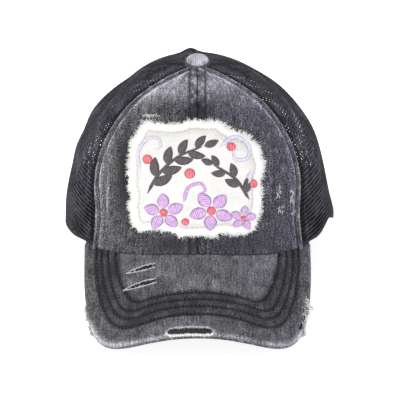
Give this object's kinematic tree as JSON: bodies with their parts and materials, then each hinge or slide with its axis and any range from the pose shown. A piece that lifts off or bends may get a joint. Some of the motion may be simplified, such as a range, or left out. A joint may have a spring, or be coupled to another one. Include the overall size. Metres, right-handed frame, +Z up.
{
  "type": "ponytail baseball cap",
  "caption": "Washed cotton baseball cap with a net back, an arched ponytail opening over a closure strap, a frayed front patch and a bent, worn peak.",
  "frame": {"origin": "middle of the outline on the surface that the cap rests on", "axes": "+Z up, the peak towards -Y, the ponytail opening towards +Y, the wearer's left towards +X"},
  "size_m": [0.205, 0.2534, 0.1456],
  "materials": {
    "washed_cotton": "washed black twill, worn pale along its seams and edges",
    "net": "open black net",
    "tape": "black tape",
    "strap": "black webbing",
    "patch_canvas": "off-white canvas with a frayed edge",
    "button_cotton": "worn grey cotton",
    "stiffener": "dark, matte"
  },
  "bodies": {
    "root": {"front_panel_left": "washed_cotton", "front_panel_right": "washed_cotton", "front_seam_welt_left": "washed_cotton", "front_seam_welt_right": "washed_cotton", "peak_top_cover": "washed_cotton", "peak_under_cover": "washed_cotton", "side_mesh_left": "net", "side_mesh_right": "net", "back_mesh_left": "net", "back_mesh_right": "net", "front_seam_tape_left": "tape", "front_seam_tape_right": "tape", "side_seam_tape_left": "tape", "side_seam_tape_right": "tape", "centre_seam_tape": "tape", "back_seam_tape": "tape", "sweatband": "tape", "opening_binding": "tape", "closure_strap_inner": "strap", "closure_strap_outer": "strap", "front_patch": "patch_canvas", "top_button": "button_cotton", "peak_board": "stiffener"}
  },
  "joints": []
}
